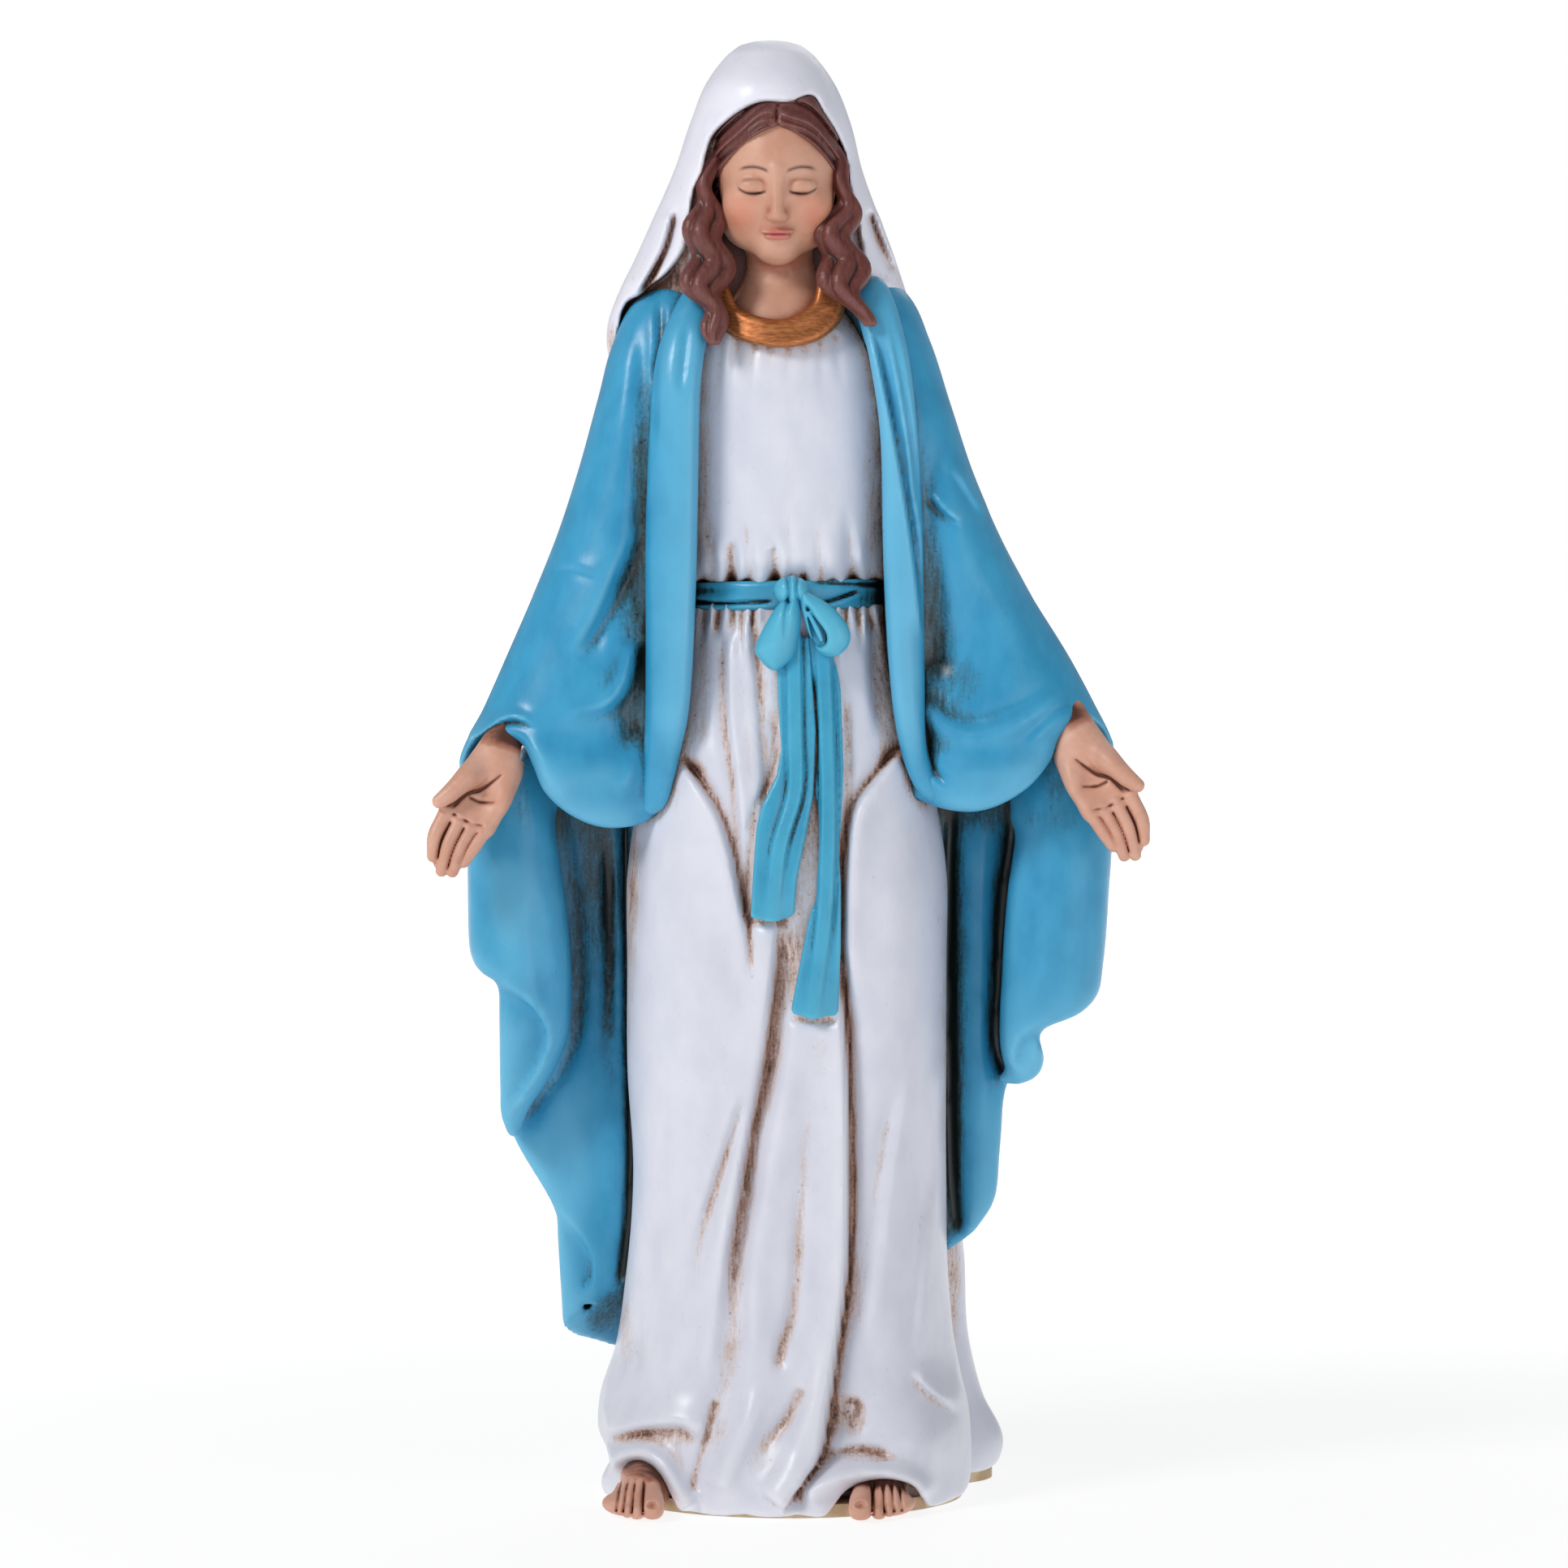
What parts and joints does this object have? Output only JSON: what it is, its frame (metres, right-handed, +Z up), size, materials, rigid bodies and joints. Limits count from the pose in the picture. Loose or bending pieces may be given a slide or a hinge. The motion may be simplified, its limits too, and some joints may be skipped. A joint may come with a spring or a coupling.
{
  "type": "madonna statue",
  "caption": "Standing Madonna figure with open lowered hands, white dress, blue mantle, white veil and tied sash, on a thin flat sole.",
  "frame": {"origin": "on the floor plane, in the middle of the figure's sole", "axes": "+Z up, the figure faces -Y, its left hand is on the +X side"},
  "size_m": [0.0478, 0.0243, 0.102],
  "materials": {
    "dress_white": "satin white paint with a brown wash in the folds",
    "veil_white": "satin white paint with a brown wash in the folds",
    "mantle_blue": "satin sky-blue paint with a dark wash in the folds",
    "sash_blue": "satin turquoise-blue paint with a dark wash in the folds",
    "skin": "satin flesh-tone paint",
    "hair_brown": "satin red-brown paint",
    "gold_band": "brushed metallic gold paint",
    "bare_resin": "bare cast resin, matte tan",
    "steel_wire": "plain drawn wire"
  },
  "bodies": {
    "root": {"sole": "bare_resin", "right_foot": "skin", "left_foot": "skin", "skirt": "dress_white", "bodice": "dress_white", "sash_belt": "sash_blue", "bow_knot": "sash_blue", "right_bow_loop": "sash_blue", "left_bow_loop": "sash_blue", "right_sash_tail": "sash_blue", "left_sash_tail": "sash_blue", "head": "skin", "hair": "hair_brown", "right_hair_lock": "hair_brown", "left_hair_lock": "hair_brown", "collar": "gold_band", "veil": "veil_white", "mantle": "mantle_blue", "right_mantle_edge": "mantle_blue", "left_mantle_edge": "mantle_blue", "right_arm_drape": "mantle_blue", "left_arm_drape": "mantle_blue", "right_hand": "skin", "left_hand": "skin", "hand_pins": "steel_wire"}
  },
  "joints": []
}
